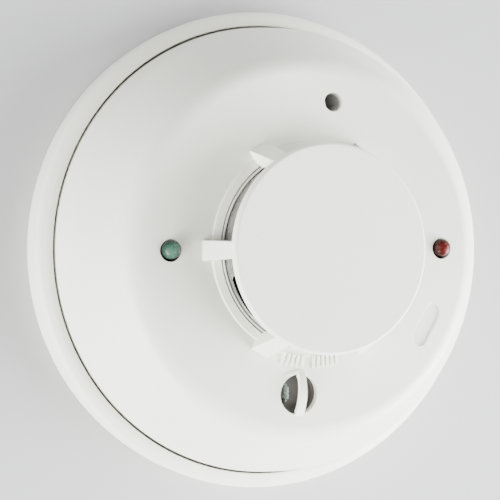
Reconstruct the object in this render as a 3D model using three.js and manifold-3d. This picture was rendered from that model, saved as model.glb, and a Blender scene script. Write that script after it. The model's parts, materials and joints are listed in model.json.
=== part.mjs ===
// Plug-in heat and smoke detector: a twist-lock head on a round mounting base.
//
// Frame: millimetres, +Z points out of the detector's face, the origin is the centre of the
// base's back face (the face that lies on the ceiling). The two indicator lamps lie on X.
//
// The parts from back to front: the mounting base with its terminals, the head's chassis with
// its contact blades, the circuit board, the optical chamber in its insect screen, and the cover.

import * as THREE from "three";
import { mergeVertices } from "three/addons/utils/BufferGeometryUtils.js";
import Module from "manifold-3d";

const wasm = await Module();
wasm.setup();

// ---------------------------------------------------------------- driving dimensions

const TOTAL_HEIGHT = 51;
const GAP = 0.3; // left between two pieces that rest on each other

// Mounting base
const BASE_RADIUS = 67.2;
const BASE_FLOOR = 2.2; // thickness of the back plate
const BASE_LIP_RADIUS = 62.95; // inner edge of the front lip
const BASE_LIP_TOP = 12.2;
const WIRE_OPENING_RADIUS = 20;
const SCREW_SLOT = { from: 30, to: 46, width: 5.2 };
const RING_WALL = { inner: 58.4, outer: 60, top: 10 }; // carries the bayonet ledges

// Bayonet: four lugs of the head under four ledges of the base
const BAYONET_ANGLES = [45, 135, 225, 315];
const LEDGE = { inner: 56.6, halfAngle: 9, from: 8.2 };
const LUG = { outer: 58, halfAngle: 7, from: 5.4, to: 7.9 };

// Terminals: a spring clip, a clamp washer and a screw each, and one blade of the head
const TERMINAL_ANGLES = [60, 90, 120, 240, 270, 300];
const CLIP = { from: 32.6, to: 48.9, width: 8, bottom: 4.5, thickness: 0.8, top: 9.6 };
const BLADE = { radius: 46, thickness: 0.6, halfAngle: 3.4, bottom: 5.9, top: 14.6 };
const LEAF_CLEARANCE = 0.4; // between a blade and each leaf of its clip
const LEAF_THICKNESS = 0.7;
const TERMINAL_SCREW_RADIUS = 37; // distance of the screws from the axis

// Head chassis
const CHASSIS_RADIUS = 56.2;
const CHASSIS_BOTTOM = 10.6;
const CHASSIS_TOP = 12.4;
const CHASSIS_WALL = 1.6;
const TONGUE_ANGLES = [22.5, 112.5, 202.5, 292.5]; // snap tongues for the cover

// Circuit board
const BOARD = { radius: 47.5, bottom: 15, top: 16.6 };
const ON_BOARD = BOARD.top + GAP; // where a component stands
const BOARD_SCREW_ANGLES = [45, 165, 285];
const BOARD_SCREW_RADIUS = 32;

// Optical chamber and insect screen
const CHAMBER_FLOOR = 36;
const CHAMBER_RADIUS = 24.6;
const VANE_COUNT = 20;
const MESH = { inner: 25, outer: 25.2, bottom: 35.8, top: 47.6 };
const MESH_NOTCH = { from: 196, to: 224, bottom: 41.4 }; // where the screen's top edge is cut away
const SCREEN_FRAME = { inner: 25.5, outer: 26, bottom: 33.5, top: 39.4 };

// Cover
const SKIRT_RADIUS = 62.3;
const SKIRT_BOTTOM = 8.5;
const COLLAR = { inner: 26.3, outer: 28.4, top: 39.2 };
const CAP = { radius: 27.15, thickness: 2.9, edge: 1.7 };
const ARM_COUNT = 6;
const ARM_WIDTH = 4.7;
const RIB_COUNT = 8; // inner ribs that stand on the chassis
// Raised marks on the collar's edge, beside the thermistor window
const MARK_ANGLES = [-107.5, -104.8, -102.1, -99.4, -96.7, -90.5, -87.9, -85.3, -82.7, -80.1, -77.5];

// Places in the face, as [x, y]
const GREEN_LAMP = [-39.45, 0];
const RED_LAMP = [39.4, -0.25];
const TEST_HOLE = [6.65, 39];
const WINDOW = [-4.35, -38.05];
const MAGNET_PAD = { radius: 40.3, angle: -31.4, length: 12.8, width: 5, depth: 0.5 };
const REED_SWITCH = { radius: 39.4, angle: -30.8 }; // under the magnet pad

const LAMP_HOLE_RADIUS = 2.85;
const LAMP_RADIUS = 2.45;
const LAMP_SHIFT = 0.25; // the lamps sit a little off centre in their holes
const TEST_HOLE_RADIUS = 2.65;
const WINDOW_RADIUS = 5.3;

const ROUND = 48; // segments of the large round parts
const SMALL_ROUND = 12; // segments of the small ones

// ---------------------------------------------------------------- materials

const plastic = (color, roughness) => new THREE.MeshStandardMaterial({ color, roughness });
const metal = (color, roughness) => new THREE.MeshStandardMaterial({ color, roughness, metalness: 1 });

const MATERIAL = {
  housing: plastic(0xeceae4, 0.45),
  chassis: plastic(0xdedcd6, 0.55),
  brass: metal(0xc9b27a, 0.3),
  steel: metal(0xb9babc, 0.35),
  board: plastic(0x1f6b3c, 0.5),
  blackPlastic: plastic(0x161616, 0.6),
  darkPlastic: plastic(0x4c4944, 0.6),
  greyPlastic: plastic(0x8c8c88, 0.55),
  screen: metal(0x9c9d9a, 0.4),
  greenLens: plastic(0x3f9a78, 0.15),
  redLens: plastic(0xa3231d, 0.15),
  glass: plastic(0x9fc4b0, 0.1),
  bead: plastic(0x2b2622, 0.35),
  blueCoat: plastic(0x27518c, 0.35),
};

// ---------------------------------------------------------------- solids

const radians = THREE.MathUtils.degToRad;

function toSolid(geometry) {
  const bare = new THREE.BufferGeometry();
  bare.setAttribute("position", geometry.getAttribute("position"));
  if (geometry.index) bare.setIndex(geometry.index);
  const merged = mergeVertices(bare, 1e-4);
  const index = merged.index.array;
  const triangles = [];
  for (let i = 0; i < index.length; i += 3) {
    const [a, b, c] = index.slice(i, i + 3);
    if (a !== b && b !== c && c !== a) triangles.push(a, b, c);
  }
  const build = (triVerts) => new wasm.Manifold(new wasm.Mesh({
    numProp: 3,
    vertProperties: new Float32Array(merged.attributes.position.array),
    triVerts: new Uint32Array(triVerts),
  }));
  const solid = build(triangles);
  return solid.volume() > 0 ? solid : build(triangles.reverse());
}

function toGeometry(solid) {
  const { vertProperties, triVerts } = solid.getMesh();
  const geometry = new THREE.BufferGeometry();
  geometry.setAttribute("position", new THREE.BufferAttribute(vertProperties, 3));
  geometry.setIndex(new THREE.BufferAttribute(triVerts, 1));
  geometry.computeVertexNormals();
  return geometry;
}

const union = (first, ...others) => others.reduce((sum, solid) => sum.add(solid), first);
const cut = (first, ...tools) => tools.reduce((rest, tool) => rest.subtract(tool), first);
const turned = (solid, degrees) => solid.rotate([0, 0, degrees]);
const moved = (solid, x, y, z = 0) => solid.translate([x, y, z]);

// A closed outline of [radius, height] points turned about Z.
function revolve(outline, segments = ROUND) {
  const closed = outline[0][0] === 0 ? outline : [...outline, outline[0]];
  const points = closed.map(([r, z]) => new THREE.Vector2(r, z));
  return toSolid(new THREE.LatheGeometry(points, segments).rotateX(Math.PI / 2));
}

function disc(radius, bottom, top, segments = SMALL_ROUND) {
  const height = top - bottom;
  const cylinder = new THREE.CylinderGeometry(radius, radius, height, segments);
  return toSolid(cylinder.rotateX(Math.PI / 2).translate(0, 0, bottom + height / 2));
}

// A box from corner to corner.
function block([x0, x1], [y0, y1], [z0, z1]) {
  const box = new THREE.BoxGeometry(x1 - x0, y1 - y0, z1 - z0);
  return toSolid(box.translate((x0 + x1) / 2, (y0 + y1) / 2, (z0 + z1) / 2));
}

function prism(shape, bottom, top, curveSegments = SMALL_ROUND) {
  const options = { depth: top - bottom, bevelEnabled: false, curveSegments };
  return toSolid(new THREE.ExtrudeGeometry(shape, options).translate(0, 0, bottom));
}

// A stretch of a ring, centred on +X.
function ringSector(inner, outer, halfAngle, bottom, top, curveSegments = 2) {
  const half = radians(halfAngle);
  const shape = new THREE.Shape();
  shape.absarc(0, 0, outer, -half, half, false);
  shape.absarc(0, 0, inner, half, -half, true);
  return prism(shape, bottom, top, curveSegments);
}

// A slot with round ends along X, from one end to the other.
function slot(from, to, width, bottom, top) {
  const half = width / 2;
  const shape = new THREE.Shape();
  shape.absarc(to - half, 0, half, -Math.PI / 2, Math.PI / 2, false);
  shape.absarc(from + half, 0, half, Math.PI / 2, (3 * Math.PI) / 2, false);
  return prism(shape, bottom, top, 8);
}

// An outline of [radius, height] points as an upright plate along +X.
function uprightPlate(outline, thickness) {
  const shape = new THREE.Shape(outline.map(([r, z]) => new THREE.Vector2(r, z)));
  const options = { depth: thickness, bevelEnabled: false };
  const plate = new THREE.ExtrudeGeometry(shape, options);
  return toSolid(plate.rotateX(Math.PI / 2).translate(0, thickness / 2, 0));
}

// A rod with a half-round end at the top.
function domedRod(radius, bottom, top, segments = SMALL_ROUND) {
  const centre = top - radius;
  const steps = 4;
  const outline = [[0, bottom], [radius, bottom]];
  for (let i = 0; i <= steps; i++) {
    const angle = (i / steps) * (Math.PI / 2);
    outline.push([i === steps ? 0 : radius * Math.cos(angle), centre + radius * Math.sin(angle)]);
  }
  return revolve(outline, segments);
}

const group = new THREE.Group();

function add(name, solid, material, { at = [0, 0], turn = 0, parent = group } = {}) {
  const mesh = new THREE.Mesh(toGeometry(solid), material);
  mesh.name = name;
  mesh.position.set(at[0], at[1], 0);
  mesh.rotation.z = radians(turn);
  parent.add(mesh);
  return mesh;
}

// ---------------------------------------------------------------- mounting base

function mountingBase() {
  const shell = revolve([
    [BASE_RADIUS - 0.5, 0],
    [BASE_RADIUS, 0.5],
    [BASE_RADIUS + 0.1, 4],
    [BASE_RADIUS - 0.1, 7.6],
    [BASE_RADIUS - 0.6, 9.6],
    [BASE_RADIUS - 1.7, 11.2],
    [BASE_RADIUS - 3.2, 12],
    [BASE_LIP_RADIUS + 0.4, BASE_LIP_TOP],
    [BASE_LIP_RADIUS, BASE_LIP_TOP - 0.3],
    [BASE_LIP_RADIUS, 10.9],
    [BASE_LIP_RADIUS + 1.7, 10.1],
    [BASE_RADIUS - 2, 8.4],
    [BASE_RADIUS - 2, BASE_FLOOR],
    [RING_WALL.outer, BASE_FLOOR],
    [RING_WALL.outer, RING_WALL.top],
    [RING_WALL.inner, RING_WALL.top],
    [RING_WALL.inner, BASE_FLOOR],
    [WIRE_OPENING_RADIUS, BASE_FLOOR],
    [WIRE_OPENING_RADIUS, 0],
  ]);

  const intoWall = 0.4;
  const ledge = ringSector(LEDGE.inner, RING_WALL.inner + intoWall, LEDGE.halfAngle, LEDGE.from, RING_WALL.top);
  // A stop beside each locked lug, under the ledge.
  const stopHalfAngle = 0.8;
  const stop = turned(
    ringSector(LEDGE.inner, RING_WALL.inner + intoWall, stopHalfAngle, BASE_FLOOR - 0.2, LEDGE.from + 0.2, 2),
    -(LEDGE.halfAngle - stopHalfAngle),
  );
  const bayonet = BAYONET_ANGLES.flatMap((angle) => [turned(ledge, angle), turned(stop, angle)]);

  const boss = block([CLIP.from - 0.6, CLIP.to + 0.6], [-4.7, 4.7], [BASE_FLOOR - 0.2, CLIP.bottom - GAP]);
  const screwHole = moved(disc(1.95, 0.8, CLIP.bottom), TERMINAL_SCREW_RADIUS, 0);
  const drilledBoss = TERMINAL_ANGLES.map((angle) => turned(boss, angle));
  const screwHoles = TERMINAL_ANGLES.map((angle) => turned(screwHole, angle));

  const screwSlot = slot(SCREW_SLOT.from, SCREW_SLOT.to, SCREW_SLOT.width, -1, BASE_FLOOR + 1);
  return cut(union(shell, ...bayonet, ...drilledBoss), ...screwHoles, screwSlot, turned(screwSlot, 180));
}

function terminalClip() {
  const plateTop = CLIP.bottom + CLIP.thickness;
  const plate = block([CLIP.from, CLIP.to], [-CLIP.width / 2, CLIP.width / 2], [CLIP.bottom, plateTop]);
  const hole = moved(disc(2, CLIP.bottom - 1, plateTop + 1), TERMINAL_SCREW_RADIUS, 0);
  const toLeaf = BLADE.thickness / 2 + LEAF_CLEARANCE;
  const leaf = (near) => ringSector(near, near + LEAF_THICKNESS, 3.2, plateTop - 0.2, CLIP.top, 3);
  const innerLeaf = leaf(BLADE.radius - toLeaf - LEAF_THICKNESS);
  const outerLeaf = leaf(BLADE.radius + toLeaf);
  return union(cut(plate, hole), innerLeaf, outerLeaf);
}

const WASHER = { bottom: CLIP.bottom + CLIP.thickness + GAP, thickness: 0.7, side: 7.6 };

function clampWasher() {
  const half = WASHER.side / 2;
  const top = WASHER.bottom + WASHER.thickness;
  const square = block([-half, half], [-half, half], [WASHER.bottom, top]);
  return cut(square, disc(1.95, WASHER.bottom - 1, top + 1, 16));
}

// A slotted screw whose head rests on the given height.
function screw({ shank, length, head, under, headHeight }) {
  const top = under + headHeight;
  const body = revolve([
    [0, under - length],
    [shank, under - length],
    [shank, under],
    [head, under],
    [head, top - headHeight * 0.4],
    [head * 0.8, top],
    [0, top],
  ], SMALL_ROUND);
  const halfWidth = head * 0.14;
  const recess = block([-head - 1, head + 1], [-halfWidth, halfWidth], [top - headHeight * 0.45, top + 1]);
  return cut(body, recess);
}

function addBase() {
  add("mounting_base", mountingBase(), MATERIAL.housing);
  const clip = terminalClip();
  const washer = clampWasher();
  const under = WASHER.bottom + WASHER.thickness + GAP;
  const terminalScrew = screw({ shank: 1.6, length: 5.2, head: 3.2, under, headHeight: 2 });
  TERMINAL_ANGLES.forEach((angle, i) => {
    const place = new THREE.Group();
    place.rotation.z = radians(angle);
    group.add(place);
    add(`terminal_clip_${i + 1}`, clip, MATERIAL.brass, { parent: place });
    add(`clamp_washer_${i + 1}`, washer, MATERIAL.steel, { parent: place, at: [TERMINAL_SCREW_RADIUS, 0] });
    add(`terminal_screw_${i + 1}`, terminalScrew, MATERIAL.steel, {
      parent: place,
      at: [TERMINAL_SCREW_RADIUS, 0],
      turn: 20 + 25 * i, // the screws were tightened to different angles
    });
  });
}

// ---------------------------------------------------------------- head chassis

function headChassis() {
  const wallInner = CHASSIS_RADIUS - CHASSIS_WALL;
  const pan = revolve([
    [0, CHASSIS_BOTTOM],
    [wallInner, CHASSIS_BOTTOM],
    [wallInner, LUG.from],
    [CHASSIS_RADIUS, LUG.from],
    [CHASSIS_RADIUS, CHASSIS_TOP],
    [0, CHASSIS_TOP],
  ]);
  const lug = ringSector(CHASSIS_RADIUS - 0.4, LUG.outer, LUG.halfAngle, LUG.from, LUG.to);
  const lugs = BAYONET_ANGLES.map((angle) => turned(lug, angle));

  const tongueInner = CHASSIS_RADIUS - 2;
  const tongue = union(
    ringSector(tongueInner, tongueInner + 1.4, 4.5, CHASSIS_TOP - 0.2, 19.5),
    ringSector(tongueInner + 1, tongueInner + 2.2, 4.5, 17.6, 18.9),
  );
  const tongues = TONGUE_ANGLES.map((angle) => turned(tongue, angle));

  const post = moved(disc(3, CHASSIS_TOP - 0.2, BOARD.bottom - GAP), BOARD_SCREW_RADIUS, 0);
  const postHole = moved(disc(1.4, CHASSIS_TOP - 1.2, BOARD.bottom), BOARD_SCREW_RADIUS, 0);
  const posts = BOARD_SCREW_ANGLES.map((angle) => turned(post, angle));
  const postHoles = BOARD_SCREW_ANGLES.map((angle) => turned(postHole, angle));

  const bladeSlot = ringSector(
    BLADE.radius - 0.8, BLADE.radius + 0.8, BLADE.halfAngle + 0.9, CHASSIS_BOTTOM - 1, CHASSIS_TOP + 1,
  );
  const bladeSlots = TERMINAL_ANGLES.map((angle) => turned(bladeSlot, angle));
  return cut(union(pan, ...lugs, ...tongues, ...posts), ...postHoles, ...bladeSlots);
}

function contactBlade() {
  const { radius, thickness, halfAngle, bottom, top } = BLADE;
  const shoulder = CHASSIS_TOP + GAP;
  return union(
    ringSector(radius - thickness / 2, radius + thickness / 2, halfAngle, bottom, top),
    ringSector(radius - 1.6, radius + 1.6, halfAngle, shoulder, shoulder + 0.6),
  );
}

function circuitBoard() {
  const screwHole = moved(disc(1.5, BOARD.bottom - 1, BOARD.top + 1), BOARD_SCREW_RADIUS, 0);
  const notch = moved(disc(1.6, BOARD.bottom - 1, BOARD.top + 1), BOARD.radius, 0);
  return cut(
    disc(BOARD.radius, BOARD.bottom, BOARD.top, ROUND),
    ...BOARD_SCREW_ANGLES.map((angle) => turned(screwHole, angle)),
    ...[20, 200].map((angle) => turned(notch, angle)),
  );
}

function addChassis() {
  add("head_chassis", headChassis(), MATERIAL.chassis);
  const blade = contactBlade();
  TERMINAL_ANGLES.forEach((angle, i) => {
    add(`contact_blade_${i + 1}`, blade, MATERIAL.brass, { turn: angle });
  });
  add("circuit_board", circuitBoard(), MATERIAL.board);
  const boardScrew = screw({ shank: 1.1, length: 5, head: 2.6, under: ON_BOARD, headHeight: 1.6 });
  BOARD_SCREW_ANGLES.forEach((angle, i) => {
    const place = new THREE.Group();
    place.rotation.z = radians(angle);
    group.add(place);
    add(`board_screw_${i + 1}`, boardScrew, MATERIAL.steel, { parent: place, at: [BOARD_SCREW_RADIUS, 0] });
  });
}

// ---------------------------------------------------------------- optical chamber

const BEAM_HEIGHT = 40; // the optical axis
const EMITTER_ANGLE = 150; // where the emitter stands in the chamber
const RECEIVER_ANGLE = 30;
const HOLDER = { from: 9, to: 17.5, halfWidth: 4, top: 43.6, bore: 2.8 };

// A solid whose own Z axis is laid along the inward radius, at the height of the beam.
const alongBeam = (solid) => solid.rotate([0, -90, 0]).translate([0, 0, BEAM_HEIGHT]);

function chamberBase() {
  const pedestal = 22;
  const ledge = SCREEN_FRAME.outer - 0.2;
  const ledgeTop = SCREEN_FRAME.bottom - GAP;
  const body = revolve([
    [0, CHAMBER_FLOOR - 2],
    [pedestal - 2, CHAMBER_FLOOR - 2],
    [pedestal - 2, ON_BOARD],
    [pedestal, ON_BOARD],
    [pedestal, 29.6],
    [ledge, 31.6],
    [ledge, ledgeTop],
    [CHAMBER_RADIUS, ledgeTop],
    [CHAMBER_RADIUS, CHAMBER_FLOOR],
    [0, CHAMBER_FLOOR],
  ], 48);
  const holder = block(
    [HOLDER.from, HOLDER.to], [-HOLDER.halfWidth, HOLDER.halfWidth], [CHAMBER_FLOOR - 0.2, HOLDER.top],
  );
  const bore = alongBeam(disc(HOLDER.bore, -HOLDER.to - 1, -HOLDER.from + 1, 16));
  const tunnel = cut(holder, bore);
  return union(body, turned(tunnel, EMITTER_ANGLE), turned(tunnel, RECEIVER_ANGLE));
}

function chamberLabyrinth() {
  const roof = disc(CHAMBER_RADIUS + 0.1, MESH.top - 1.2, MESH.top, 48);
  const vane = block([-2.6, 2.6], [-0.5, 0.5], [CHAMBER_FLOOR + GAP, MESH.top - 1]).rotate([0, 0, 38]);
  const vanes = Array.from({ length: VANE_COUNT }, (_, i) =>
    turned(moved(vane, CHAMBER_RADIUS - 2.6, 0), ((i + 0.5) * 360) / VANE_COUNT));
  return union(roof, ...vanes);
}

function insectScreen() {
  const wall = revolve([
    [MESH.inner, MESH.bottom],
    [MESH.outer, MESH.bottom],
    [MESH.outer, MESH.top],
    [MESH.inner, MESH.top],
  ]);
  const half = (MESH_NOTCH.to - MESH_NOTCH.from) / 2;
  const notch = ringSector(MESH.inner - 1, MESH.outer + 1, half, MESH_NOTCH.bottom, MESH.top + 1, 8);
  return cut(wall, turned(notch, MESH_NOTCH.from + half));
}

function screenFrame() {
  const { inner, outer, bottom, top } = SCREEN_FRAME;
  const foot = MESH.bottom - GAP;
  return revolve([
    [CHAMBER_RADIUS + GAP, bottom],
    [outer, bottom],
    [outer, top - 0.2],
    [outer - 0.2, top],
    [inner, top],
    [inner, foot],
    [CHAMBER_RADIUS + GAP, foot],
  ]);
}

function addChamber() {
  add("chamber_base", chamberBase(), MATERIAL.blackPlastic);
  add("chamber_labyrinth", chamberLabyrinth(), MATERIAL.blackPlastic);
  add("insect_screen", insectScreen(), MATERIAL.screen);
  add("screen_frame", screenFrame(), MATERIAL.chassis);
  const emitter = alongBeam(domedRod(2.5, -17, -9.6));
  add("infrared_emitter", emitter, MATERIAL.blueCoat, { turn: EMITTER_ANGLE });
  const receiver = alongBeam(union(disc(2.4, -16.5, -13, 16), disc(1.7, -13.2, -11.5, 16)));
  add("photodiode", receiver, MATERIAL.bead, { turn: RECEIVER_ANGLE });
}

// ---------------------------------------------------------------- lamps, thermistor, test switch

const LAMP_TOP = 40.8;
const LAMP_FLANGE = { bottom: 30.5, top: 31.5, radius: 2.9 };

function lamp() {
  const lead = disc(0.3, BOARD.top + GAP, LAMP_FLANGE.bottom + 0.5, 8);
  return union(
    domedRod(LAMP_RADIUS, LAMP_FLANGE.bottom, LAMP_TOP),
    disc(LAMP_FLANGE.radius, LAMP_FLANGE.bottom, LAMP_FLANGE.top),
    moved(lead, -1.27, 0),
    moved(lead, 1.27, 0),
  );
}

function lampSpacer() {
  const tube = disc(LAMP_FLANGE.radius, ON_BOARD, LAMP_FLANGE.bottom - GAP);
  const bore = disc(0.65, ON_BOARD - 1, LAMP_FLANGE.bottom + 1, 8);
  return cut(tube, moved(bore, -1.27, 0), moved(bore, 1.27, 0));
}

// The thermistor is a glass rod laid along Y, with a lead bent down at each end.
const THERMISTOR = { x: -2.8, y: 0.4, z: 36, radius: 0.9, halfLength: 1.9, leadAt: 2.4 };

function thermistor() {
  const { x, y, z, radius, halfLength, leadAt } = THERMISTOR;
  const alongY = (r, half, segments) => disc(r, -half, half, segments).rotate([90, 0, 0]).translate([0, 0, z]);
  const leg = disc(0.25, ON_BOARD, z + 0.25, 8);
  const lead = union(alongY(0.25, leadAt, 8), moved(leg, 0, -leadAt), moved(leg, 0, leadAt));
  return moved(union(alongY(radius, halfLength, 16), lead), x, y);
}

const SHROUD = { outer: 6, inner: 5, floor: 29.5, top: 35.9 };

function thermistorShroud() {
  const { outer, inner, floor, top } = SHROUD;
  const cup = revolve([
    [0, floor], [inner, floor], [inner, ON_BOARD], [outer, ON_BOARD],
    [outer, top], [inner, top], [inner, floor + 1], [0, floor + 1],
  ], 24);
  const leadHole = moved(disc(0.6, floor - 1, floor + 2, 8), THERMISTOR.x, THERMISTOR.y);
  return cut(cup, moved(leadHole, 0, -THERMISTOR.leadAt), moved(leadHole, 0, THERMISTOR.leadAt));
}

const SWITCH = { side: 6, bodyTop: 19.9, buttonTop: 20.6 };
const PLUNGER = { radius: 1.7, bottom: 21.6, top: 31, flange: 3, flangeTop: 22.2 };
const GUIDE = { outer: 5.8, inner: 4.8, ceiling: 22.5, top: 24 };

function testSwitch() {
  const half = SWITCH.side / 2;
  return union(
    block([-half, half], [-half, half], [ON_BOARD, SWITCH.bodyTop]),
    disc(1.75, SWITCH.bodyTop - 0.2, SWITCH.buttonTop),
  );
}

function plungerGuide() {
  const { outer, inner, ceiling, top } = GUIDE;
  const bore = PLUNGER.radius + GAP;
  return revolve([
    [inner, ON_BOARD], [outer, ON_BOARD], [outer, top - 0.5], [outer - 0.5, top],
    [bore, top], [bore, ceiling], [inner, ceiling],
  ], 24);
}

function testPlunger() {
  const { radius, bottom, top, flange, flangeTop } = PLUNGER;
  return revolve([
    [0, bottom], [flange, bottom], [flange, flangeTop], [radius, flangeTop],
    [radius, top - 0.4], [radius - 0.4, top], [0, top],
  ], SMALL_ROUND);
}

function addIndicatorsAndSensors() {
  const lens = lamp();
  const spacer = lampSpacer();
  for (const [name, place, material] of [
    ["green", GREEN_LAMP, MATERIAL.greenLens],
    ["red", RED_LAMP, MATERIAL.redLens],
  ]) {
    const at = [place[0], place[1] + LAMP_SHIFT];
    add(`${name}_lamp`, lens, material, { at, turn: 90 });
    add(`${name}_lamp_spacer`, spacer, MATERIAL.chassis, { at, turn: 90 });
  }
  add("thermistor", thermistor(), MATERIAL.glass, { at: WINDOW });
  add("thermistor_shroud", thermistorShroud(), MATERIAL.darkPlastic, { at: WINDOW });
  add("test_switch", testSwitch(), MATERIAL.blackPlastic, { at: TEST_HOLE });
  add("plunger_guide", plungerGuide(), MATERIAL.chassis, { at: TEST_HOLE });
  add("test_plunger", testPlunger(), MATERIAL.greyPlastic, { at: TEST_HOLE });
}

// ---------------------------------------------------------------- other components on the board

function chip(length, width, height) {
  return block([-length / 2, length / 2], [-width / 2, width / 2], [ON_BOARD, ON_BOARD + height]);
}

function canCapacitor(radius, height) {
  const top = ON_BOARD + height;
  return revolve([
    [0, ON_BOARD], [radius, ON_BOARD], [radius, ON_BOARD + 1.2], [radius - 0.25, ON_BOARD + 1.5],
    [radius, ON_BOARD + 1.8], [radius, top - 0.4], [radius - 0.4, top], [0, top],
  ], 24);
}

// A glass tube with a lead at each end, bent down to the board.
function reedSwitch() {
  const axis = ON_BOARD + 2.2;
  const half = 5.5;
  const reach = 7;
  const tube = (radius, length, segments) =>
    disc(radius, -length, length, segments).rotate([0, 90, 0]).translate([0, 0, axis]);
  const leg = disc(0.3, ON_BOARD, axis + 0.3, 8);
  return union(tube(1.2, half, 16), tube(0.3, reach, 8), moved(leg, -reach + 0.2, 0), moved(leg, reach - 0.2, 0));
}

function surgeSuppressor() {
  const radius = 4.4;
  const body = disc(radius, -1.6, 1.6, 24).rotate([90, 0, 0]).translate([0, 0, ON_BOARD + radius + 1.2]);
  const leg = disc(0.35, ON_BOARD, ON_BOARD + 3, 8);
  return union(body, moved(leg, -2.5, 0), moved(leg, 2.5, 0));
}

function addBoardComponents() {
  add("microcontroller", chip(9, 9, 1.6), MATERIAL.blackPlastic, { at: [-24, 26], turn: 45 });
  add("bridge_rectifier", chip(6.4, 4.8, 2.8), MATERIAL.blackPlastic, { at: [-17, -35], turn: 25 });
  add("amplifier_shield", chip(11, 8, 4.2), MATERIAL.steel, { at: [35, 19], turn: -60 });
  add("filter_capacitor_1", canCapacitor(4, 8.5), MATERIAL.blackPlastic, { at: [-31, -24] });
  add("filter_capacitor_2", canCapacitor(3.15, 6.5), MATERIAL.blackPlastic, { at: [18, -33.5] });
  add("surge_suppressor", surgeSuppressor(), MATERIAL.blueCoat, { at: [-35.5, -12.5], turn: 65 });
  const { radius, angle } = REED_SWITCH;
  const at = [radius * Math.cos(radians(angle)), radius * Math.sin(radians(angle))];
  add("reed_switch", reedSwitch(), MATERIAL.glass, { at, turn: angle + 90 });
}

// ---------------------------------------------------------------- cover

// The face's surface in section, from the skirt's foot to the collar's inner edge.
const COVER_OUTSIDE = [
  [SKIRT_RADIUS, SKIRT_BOTTOM],
  [SKIRT_RADIUS, 12.3],
  [61.7, 16.5],
  [61, 20],
  [59.9, 22.9],
  [58.1, 25.6],
  [52.6, 33.8],
  [50.6, 36],
  [48.2, 37.6],
  [45.2, 38.2],
  [29.4, 38.45],
  [28.7, 38.6],
  [COLLAR.outer, 38.9],
  [COLLAR.outer - 0.3, COLLAR.top],
  [COLLAR.inner, COLLAR.top],
];
const COVER_INSIDE = [
  [COLLAR.inner, 37],
  [34, 36.9],
  [46, 36.2],
  [48.6, 35],
  [50.6, 33.2],
  [56.4, 24.6],
  [58.6, 21],
  [59.7, 16],
  [SKIRT_RADIUS - 1.8, 12.3],
  [SKIRT_RADIUS - 1.8, SKIRT_BOTTOM],
];

function chamberCap() {
  const { radius, thickness, edge } = CAP;
  const outline = [[0, TOTAL_HEIGHT - thickness], [radius - 0.3, TOTAL_HEIGHT - thickness]];
  const steps = 4;
  for (let i = 0; i <= steps; i++) {
    const angle = (i / steps) * (Math.PI / 2);
    outline.push([
      radius - edge + edge * Math.cos(angle),
      TOTAL_HEIGHT - edge + edge * Math.sin(angle),
    ]);
  }
  outline.push([0, TOTAL_HEIGHT]);
  return revolve(outline);
}

// An arm stands on the face outside the collar and leans in to the cap's edge.
function capArm() {
  const screenSide = SCREEN_FRAME.inner + 0.15;
  const overFrame = SCREEN_FRAME.top + 0.4;
  const intoCap = TOTAL_HEIGHT - 1.7;
  return uprightPlate([
    [30.9, 37.6],
    [30.9, 38.5],
    [27.1, 48],
    [27, intoCap],
    [screenSide - 1, intoCap],
    [screenSide, intoCap - 0.8],
    [screenSide, overFrame],
    [COLLAR.inner + 0.3, overFrame],
    [COLLAR.inner + 0.3, 38.2],
  ], ARM_WIDTH);
}

// A low arch across the thermistor window, along Y.
function windowGuard() {
  const outerEnd = -WINDOW_RADIUS - 1.2;
  const innerEnd = WINDOW_RADIUS + 0.9;
  const foot = 37.6;
  const width = 2.2;
  const side = -0.85; // its left side, from the window's centre
  const shape = new THREE.Shape();
  shape.moveTo(outerEnd, foot);
  shape.quadraticCurveTo(outerEnd * 0.55, 40.9, 0.8, 40.8);
  shape.quadraticCurveTo(innerEnd * 0.6, 40.7, innerEnd, foot);
  shape.lineTo(innerEnd - 1.5, foot);
  shape.quadraticCurveTo(innerEnd * 0.45, 39.3, 0.6, 39.4);
  shape.quadraticCurveTo(outerEnd * 0.45, 39.4, outerEnd + 1.6, foot);
  const options = { depth: width, bevelEnabled: false, curveSegments: 6 };
  const arch = new THREE.ExtrudeGeometry(shape, options);
  return moved(toSolid(arch.rotateX(Math.PI / 2).rotateZ(Math.PI / 2)), WINDOW[0] + side, WINDOW[1]);
}

function cover() {
  const shell = revolve([...COVER_OUTSIDE, ...COVER_INSIDE]);
  const spread = (solid, count) => Array.from({ length: count }, (_, i) => turned(solid, (i * 360) / count));
  const arms = spread(capArm(), ARM_COUNT);
  const ribs = spread(uprightPlate([
    [53.4, CHASSIS_TOP + GAP], [61.3, CHASSIS_TOP + GAP], [61, 15], [58.9, 22.6], [57.4, 24], [53.4, 15],
  ], 1.6), RIB_COUNT);
  const testTube = moved(disc(TEST_HOLE_RADIUS + 1.2, GUIDE.top + 0.6, 37.4), ...TEST_HOLE);
  const mark = uprightPlate([[27.6, 38.6], [27.6, 39.6], [28.7, 39.5], [31.1, 38.8], [31.1, 37.9]], 0.7);
  const marks = MARK_ANGLES.map((angle) => turned(mark, angle));

  const holes = [
    moved(disc(LAMP_HOLE_RADIUS, 30, 45, 24), ...GREEN_LAMP),
    moved(disc(LAMP_HOLE_RADIUS, 30, 45, 24), ...RED_LAMP),
    moved(disc(TEST_HOLE_RADIUS, 20, 45, 16), ...TEST_HOLE),
    moved(disc(WINDOW_RADIUS, 30, 45, 24), ...WINDOW),
  ];
  const pad = MAGNET_PAD;
  const padHeight = 38.3; // the face's height at the pad
  const recess = turned(moved(
    turned(slot(-pad.length / 2, pad.length / 2, pad.width, padHeight - pad.depth, 40), 90), pad.radius, 0,
  ), pad.angle);

  const body = cut(union(shell, ...ribs, testTube, ...marks), ...holes, recess);
  return union(body, chamberCap(), ...arms, windowGuard());
}

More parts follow.
